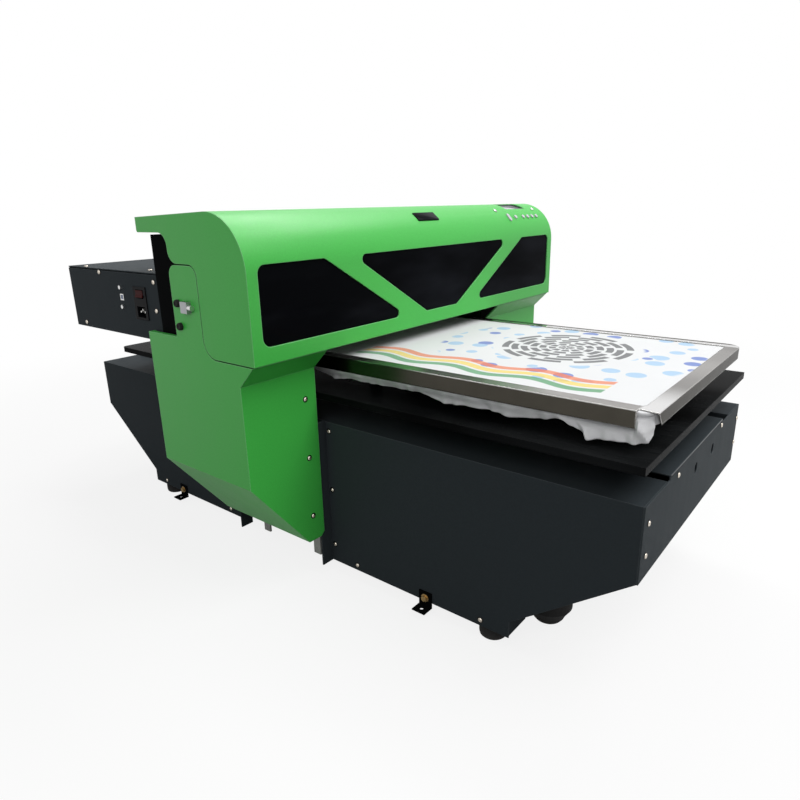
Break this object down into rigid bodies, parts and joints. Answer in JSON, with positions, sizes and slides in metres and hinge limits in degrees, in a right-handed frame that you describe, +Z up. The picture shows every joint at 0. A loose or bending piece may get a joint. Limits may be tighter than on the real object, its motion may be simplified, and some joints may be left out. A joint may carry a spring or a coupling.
{
  "type": "flatbed garment printer",
  "caption": "Flatbed inkjet printer: a hinged hood over a gantry, a sliding and lifting table with a framed garment platen, and an electronics box at the rear.",
  "frame": {"origin": "on the floor, under the middle of the machine's box", "axes": "+Z up; -Y is the front, where the platen comes out; +X is to the right of a person who faces the front"},
  "size_m": [1.018, 1.4228, 0.693],
  "materials": {
    "green_paint": "bright green fine-texture powder coat",
    "dark_paint": "dark blue-grey fine-texture powder coat",
    "tray_paint": "glossy black paint",
    "black_paint": "satin black paint",
    "stainless": "brushed stainless steel",
    "bright_steel": "bright plated steel",
    "zinc_yellow": "yellow zinc plating",
    "aluminium": "machined aluminium",
    "rubber": "black rubber",
    "black_plastic": "matte black plastic",
    "smoked_pane": "smoked black acrylic",
    "panel_grey": "dark grey display surround",
    "button_grey": "grey satin buttons",
    "rocker_red": "dark red rocker",
    "tank_plastic": "translucent white tank plastic",
    "board": "white laminated board",
    "cloth": "white knitted cotton with a printed design",
    "circuit": "green circuit board"
  },
  "bodies": {
    "base": {"side_panel_left": "dark_paint", "side_panel_right": "dark_paint", "front_plate": "dark_paint", "rear_plate": "dark_paint", "belly_pan": "dark_paint", "rail_frame": "black_paint", "linear_rails": "bright_steel", "rubber_feet": "rubber", "floor_brackets": "black_paint", "floor_bolts": "zinc_yellow", "panel_screws": "bright_steel", "y_motor": "black_plastic", "y_belt": "rubber", "gantry_channels": "dark_paint", "cover_stays": "bright_steel", "gantry_uprights": "dark_paint", "gantry_beam": "aluminium", "lower_cover_left": "green_paint", "lower_cover_right": "green_paint", "inner_shell": "black_paint", "x_motor": "black_plastic", "x_belt": "rubber", "cap_base": "dark_paint", "ink_tanks": "tank_plastic", "hood_hinges": "bright_steel", "electronics_box": "dark_paint", "box_end_plate": "dark_paint", "power_inlet": "black_plastic", "usb_port": "bright_steel", "power_supply": "aluminium", "main_board": "circuit", "hood_latches": "bright_steel"},
    "table": {"table_carriage": "aluminium", "table_bearings": "bright_steel", "lift_motor": "black_plastic"},
    "lift_table": {"lift_posts": "bright_steel", "table_tray": "tray_paint", "platen_board": "board", "garment": "cloth"},
    "lift_screw": {"lift_screw": "bright_steel"},
    "clamp_frame": {"clamp_frame": "stainless"},
    "y_drive_wheel": {"y_drive_pulley": "aluminium"},
    "y_idler_wheel": {"y_idler_pulley": "aluminium"},
    "print_carriage": {"print_carriage": "black_plastic", "print_heads": "black_plastic"},
    "x_drive_wheel": {"x_drive_pulley": "aluminium"},
    "x_idler_wheel": {"x_idler_pulley": "aluminium"},
    "cap": {"cap_tray": "black_plastic"},
    "hood": {"hood": "green_paint", "front_windows": "smoked_pane", "display": "panel_grey"},
    "power_rocker": {"power_rocker": "rocker_red"},
    "latch_screw_left": {"latch_screw_left": "bright_steel"},
    "latch_screw_right": {"latch_screw_right": "bright_steel"},
    "button_1": {"button_1": "button_grey"},
    "button_2": {"button_2": "button_grey"},
    "button_3": {"button_3": "button_grey"},
    "button_4": {"button_4": "button_grey"},
    "button_5": {"button_5": "button_grey"},
    "button_6": {"button_6": "button_grey"}
  },
  "joints": [
    {"name": "table_slide", "type": "slide", "parent": "base", "child": "table", "axis": [0, 1, 0], "range_m": [0, 0.62]},
    {"name": "table_lift", "type": "slide", "parent": "table", "child": "lift_table", "axis": [0, 0, 1], "range_m": [-0.03, 0]},
    {"name": "lift_screw_turn", "type": "hinge", "parent": "table", "child": "lift_screw", "pos_m": [-0.049, -0.26, 0.29], "axis": [0, 0, 1], "continuous": true},
    {"name": "clamp_frame_lift", "type": "slide", "parent": "lift_table", "child": "clamp_frame", "axis": [0, 0, 1], "range_m": [0, 0.02]},
    {"name": "y_drive_turn", "type": "hinge", "parent": "base", "child": "y_drive_wheel", "pos_m": [0.02, 0.665, 0.22], "axis": [1, 0, 0], "continuous": true},
    {"name": "y_idler_turn", "type": "hinge", "parent": "base", "child": "y_idler_wheel", "pos_m": [0.02, -0.665, 0.22], "axis": [1, 0, 0], "continuous": true},
    {"name": "carriage_slide", "type": "slide", "parent": "base", "child": "print_carriage", "axis": [1, 0, 0], "range_m": [-0.8, 0]},
    {"name": "x_drive_turn", "type": "hinge", "parent": "base", "child": "x_drive_wheel", "pos_m": [0.46, 0.033, 0.607], "axis": [0, 0, 1], "continuous": true},
    {"name": "x_idler_turn", "type": "hinge", "parent": "base", "child": "x_idler_wheel", "pos_m": [-0.46, 0.033, 0.607], "axis": [0, 0, 1], "continuous": true},
    {"name": "cap_lift", "type": "slide", "parent": "base", "child": "cap", "axis": [0, 0, 1], "range_m": [-0.012, 0], "stiffness_N_per_m": 1500, "springref_m": 0.006},
    {"name": "hood_hinge", "type": "hinge", "parent": "base", "child": "hood", "pos_m": [0, 0.103, 0.653], "axis": [-1, 0, 0], "range_deg": [0, 60]},
    {"name": "power_rocker_tip", "type": "hinge", "parent": "base", "child": "power_rocker", "pos_m": [-0.485, 0.166, 0.551], "axis": [0, 1, 0], "range_deg": [-16, 0]},
    {"name": "latch_screw_left_turn", "type": "hinge", "parent": "base", "child": "latch_screw_left", "pos_m": [-0.5045, -0.017, 0.543], "axis": [0, 1, 0], "continuous": true},
    {"name": "latch_screw_right_turn", "type": "hinge", "parent": "base", "child": "latch_screw_right", "pos_m": [0.5045, -0.017, 0.543], "axis": [0, 1, 0], "continuous": true},
    {"name": "button_1_press", "type": "slide", "parent": "hood", "child": "button_1", "axis": [0, 0.7547, -0.6561], "range_m": [0, 0.002], "stiffness_N_per_m": 300, "springref_m": -0.001},
    {"name": "button_2_press", "type": "slide", "parent": "hood", "child": "button_2", "axis": [0, 0.7547, -0.6561], "range_m": [0, 0.002], "stiffness_N_per_m": 300, "springref_m": -0.001},
    {"name": "button_3_press", "type": "slide", "parent": "hood", "child": "button_3", "axis": [0, 0.7547, -0.6561], "range_m": [0, 0.002], "stiffness_N_per_m": 300, "springref_m": -0.001},
    {"name": "button_4_press", "type": "slide", "parent": "hood", "child": "button_4", "axis": [0, 0.7547, -0.6561], "range_m": [0, 0.002], "stiffness_N_per_m": 300, "springref_m": -0.001},
    {"name": "button_5_press", "type": "slide", "parent": "hood", "child": "button_5", "axis": [0, 0.7547, -0.6561], "range_m": [0, 0.002], "stiffness_N_per_m": 300, "springref_m": -0.001},
    {"name": "button_6_press", "type": "slide", "parent": "hood", "child": "button_6", "axis": [0, 0.7547, -0.6561], "range_m": [0, 0.002], "stiffness_N_per_m": 300, "springref_m": -0.001}
  ],
  "couplings": [
    {"joint": "lift_screw_turn", "follows": "table_lift", "rad_per_m": 1570.8},
    {"joint": "y_drive_turn", "follows": "table_slide", "rad_per_m": -71.429},
    {"joint": "y_idler_turn", "follows": "table_slide", "rad_per_m": -71.429},
    {"joint": "x_drive_turn", "follows": "carriage_slide", "rad_per_m": 83.333},
    {"joint": "x_idler_turn", "follows": "carriage_slide", "rad_per_m": 83.333}
  ]
}
